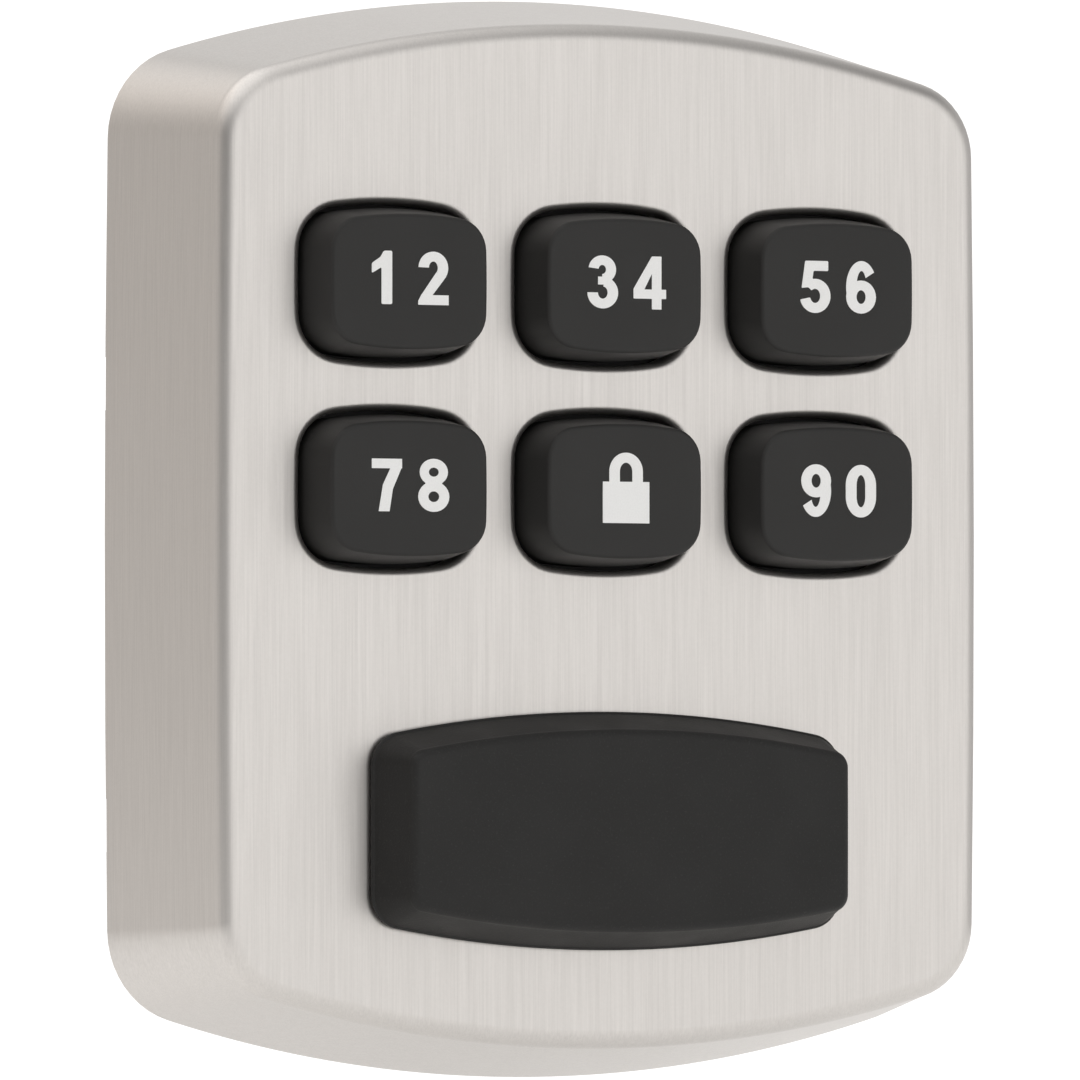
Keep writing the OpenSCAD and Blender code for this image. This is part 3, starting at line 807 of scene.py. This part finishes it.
class KEYPAD_OT_cover(bpy.types.Operator):
    """Build the moulded cover that swings over the key cylinder"""
    bl_idname = "keypad.cover"
    bl_label = "Build Cylinder Cover"

    def execute(self, context):
        sizes = context.scene.keypad_unit.cover
        shape = Barrel((COVER_HIGH.x - COVER_LOW.x) / 2, (COVER_HIGH.z - COVER_LOW.z) / 2,
                       sizes.arch_radius, sizes.side_radius, sizes.corner_radius)
        middle = ((COVER_LOW.x + COVER_HIGH.x) / 2, (COVER_LOW.z + COVER_HIGH.z) / 2)
        step, top, r = sizes.lip_step, COVER_HIGH.y - sizes.lip_height, sizes.edge
        levels = [Level(COVER_HIGH.y, 0.00008, 0.00008), Level(COVER_HIGH.y - 0.00008, 0, 0),
                  Level(top + 0.0001, 0, 0), Level(top, step * 0.5, step * 0.5),
                  Level(top - 0.00005, step, step)]
        levels += [Level(COVER_LOW.y + r * depth, sizes.draft + r * inset, sizes.draft + r * inset)
                   for depth, inset in rounding(9)]
        bm = bmesh.new()
        loft(bm, shape, levels, middle, arch_steps=24)
        pivot_low, pivot_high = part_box("cover_pivot")
        x = (pivot_low.x + pivot_high.x) / 2
        pocket = bmesh.new()
        lathe(pocket, [(0, COVER_HIGH.y + 0.001), (0.00205, COVER_HIGH.y + 0.001),
                       (0.00205, FACE - 0.0017), (0.0031, FACE - 0.0017), (0.0031, FACE - 0.0031),
                       (0, FACE - 0.0031)], (x, AXIS_Z), 48)
        bm = combine(bm, pocket)
        piece(bm, "cylinder_cover", "cover", finish_for("cover_rubber"),
              ["key_cover"])
        return {"FINISHED"}


class KEYPAD_OT_cylinder(bpy.types.Operator):
    """Build the plug's turned face with its keyway, and the coiled pin springs"""
    bl_idname = "keypad.cylinder"
    bl_label = "Build Key Cylinder"

    def execute(self, context):
        radius = (PLUG_HIGH.x - PLUG_LOW.x) / 2
        shell_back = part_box("cylinder_shell")[1].y
        neck, neck_y, tail = 0.0054, shell_back - 0.0011, 0.0025
        bm = bmesh.new()
        lathe(bm, [(0, FACE + 0.0004), (0.0042, FACE + 0.0004), (0.0046, FACE + 0.0001),
                   (radius - 0.0004, FACE), (radius - 0.0001, FACE + 0.0001),
                   (radius, FACE + 0.0004), (radius, neck_y), (neck, neck_y),
                   (neck, shell_back + 0.0003), (0, shell_back + 0.0003)], (0, AXIS_Z))
        drive = bmesh.new()
        block(drive, (-tail, shell_back - 0.001, AXIS_Z - tail), (tail, PLUG_HIGH.y, AXIS_Z + tail))
        bmesh.ops.bevel(drive, geom=drive.edges[:], offset=0.0002, segments=2, profile=0.5,
                        affect="EDGES", material=-1)
        bm = combine(bm, drive, "UNION")
        keyway = bmesh.new()
        block(keyway, (-0.00095, FACE - 0.001, AXIS_Z - 0.0042),
              (0.00095, shell_back - 0.002, AXIS_Z + 0.004))
        bm = combine(bm, keyway)
        ward = bmesh.new()
        block(ward, (-0.0019, FACE - 0.001, AXIS_Z - 0.0014),
              (-0.0005, shell_back - 0.002, AXIS_Z + 0.0002))
        bm = combine(bm, ward)
        piece(bm, "plug_turned", "plug", finish_for("nickel_plated_brass"),
              ["cylinder_plug"])
        low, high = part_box("pin_springs")
        reach, count, coils, steps = (high.x - low.x) / 2, 5, 6, 20
        wire = 0.00016
        bm = bmesh.new()
        for i in range(count):
            y = low.y + reach + i * (high.y - low.y - 2 * reach) / (count - 1)
            ring = bmesh.ops.create_circle(
                bm, segments=8, radius=wire, cap_ends=False,
                matrix=Matrix.Translation((reach - wire, y, low.z + wire))
                @ Matrix.Rotation(math.pi / 2, 4, "X"))["verts"]
            edges = list({e for v in ring for e in v.link_edges})
            ends = edges[:]
            rise = (high.z - low.z - 2 * wire) / (coils * steps)
            swept = bmesh.ops.spin(bm, geom=ring + edges, cent=(0, y, 0), axis=(0, 0, 1),
                                   dvec=(0, 0, rise), angle=math.tau * coils,
                                   steps=coils * steps)["geom_last"]
            close(bm, ends)
            close(bm, [e for e in swept if isinstance(e, bmesh.types.BMEdge)])
        piece(bm, "coil_springs", "lock_body", finish_for("spring_steel"),
              ["pin_springs"])
        return {"FINISHED"}


class KEYPAD_OT_studio(bpy.types.Operator):
    """Set up the floor, the soft studio light and the camera"""
    bl_idname = "keypad.studio"
    bl_label = "Set Up Studio"

    def execute(self, context):
        sizes, scene = context.scene.keypad_unit.studio, context.scene
        forward = Vector((math.sin(sizes.yaw) * math.cos(sizes.pitch),
                          math.cos(sizes.yaw) * math.cos(sizes.pitch), math.sin(sizes.pitch)))
        lens = bpy.data.cameras.new("camera")
        lens.lens, lens.sensor_width = sizes.lens, 36.0
        lens.clip_start, lens.clip_end = 0.01, 100.0
        camera = bpy.data.objects.new("camera", lens)
        camera.location = Vector(sizes.target) - forward * sizes.distance
        camera.rotation_mode = "QUATERNION"
        camera.rotation_quaternion = forward.to_track_quat("-Z", "Y")
        scene.collection.objects.link(camera)
        scene.camera = camera
        scene.view_settings.view_transform = "Standard"

        floor = bmesh.new()
        bmesh.ops.create_circle(floor, segments=128, radius=0.5, cap_ends=True,
                                matrix=Matrix.Translation((0, 0, CAD_LOW.z - sizes.floor_drop)))
        floor = rested(floor, "floor")
        made, finish = material("floor_paint")
        cloud = finish.noise(finish.point(), 30.0, 3.0, 0.5)
        finish.surface(Base_Color=finish.blend(cloud, darker(sizes.floor, 0.98), sizes.floor),
                       Roughness=0.7, Normal=finish.relief(cloud, 0.0001, 0.1),
                       Emission_Color=finish.blend(cloud, darker(sizes.floor, 0.98), sizes.floor),
                       Emission_Strength=0.24)
        floor.data.materials.append(made)

        room = bpy.data.worlds.new("studio")
        room.use_nodes = True
        scene.world = room
        sky = Finish(room.node_tree)
        way = sky.node("ShaderNodeTexCoord", output="Generated")

        def glow(azimuth, elevation, inner, outer):
            """A soft light panel: azimuth runs from the viewer's side of the face to the right."""
            a, e = math.radians(azimuth), math.radians(elevation)
            aim = (math.sin(a) * math.cos(e), -math.cos(a) * math.cos(e), math.sin(e))
            near = sky.node("ShaderNodeVectorMath", {"operation": "DOT_PRODUCT"},
                            {0: way, 1: aim}, output="Value")
            return sky.span(near, math.cos(math.radians(outer)), math.cos(math.radians(inner)),
                            smooth=True)

        light = (sizes.ambient + glow(28, 0, 18, 48) * 0.58 + glow(151.5, 1, 4, 9) * 0.6
                 + glow(150, 25, 6, 22) * 0.4 + glow(-145, 50, 10, 40) * 0.3
                 + glow(-50, 72, 10, 60) * 0.8 - glow(-45, 0, 10, 44) * 0.42
                 - glow(55, 52, 8, 40) * 0.38)
        backdrop = sky.node("ShaderNodeBackground", None,
                            {"Color": sky.blend(glow(-117, 0, 30, 85), (1.0, 0.995, 0.985),
                                                (1.0, 0.95, 0.9)), "Strength": light})
        end = sky.tree.nodes.new("ShaderNodeOutputWorld")
        sky.tree.links.new(backdrop.link, end.inputs["Surface"])
        return {"FINISHED"}


class KEYPAD_PT_builder(bpy.types.Panel):
    """Lists the steps that build the keypad unit"""
    bl_idname = "KEYPAD_PT_builder"
    bl_label = "Keypad Unit"
    bl_space_type = "VIEW_3D"
    bl_region_type = "UI"
    bl_category = "Keypad"

    def draw(self, context):
        for step in STEPS:
            self.layout.operator(step.bl_idname)
        settings = context.scene.keypad_unit
        for group in (settings.housing, settings.keys, settings.legends, settings.cover,
                      settings.metal, settings.rubber, settings.studio):
            box = self.layout.box()
            for name in group.bl_rna.properties.keys():
                if name not in ("rna_type", "name"):
                    box.prop(group, name)


STEPS = (KEYPAD_OT_finishes, KEYPAD_OT_housing, KEYPAD_OT_keys, KEYPAD_OT_legends,
         KEYPAD_OT_cover, KEYPAD_OT_cylinder, KEYPAD_OT_studio)
CLASSES = (HousingSizes, KeySizes, LegendSizes, CoverSizes, MetalLook, RubberLook, StudioSettings,
           KeypadUnitSettings, *STEPS, KEYPAD_PT_builder)


def register():
    for made in CLASSES:
        bpy.utils.register_class(made)
    bpy.types.Scene.keypad_unit = PointerProperty(type=KeypadUnitSettings)


def unregister():
    del bpy.types.Scene.keypad_unit
    for made in reversed(CLASSES):
        bpy.utils.unregister_class(made)


def main():
    register()
    for step in STEPS:
        group, name = step.bl_idname.split(".")
        getattr(getattr(bpy.ops, group), name)()


if __name__ == "__main__":
    main()
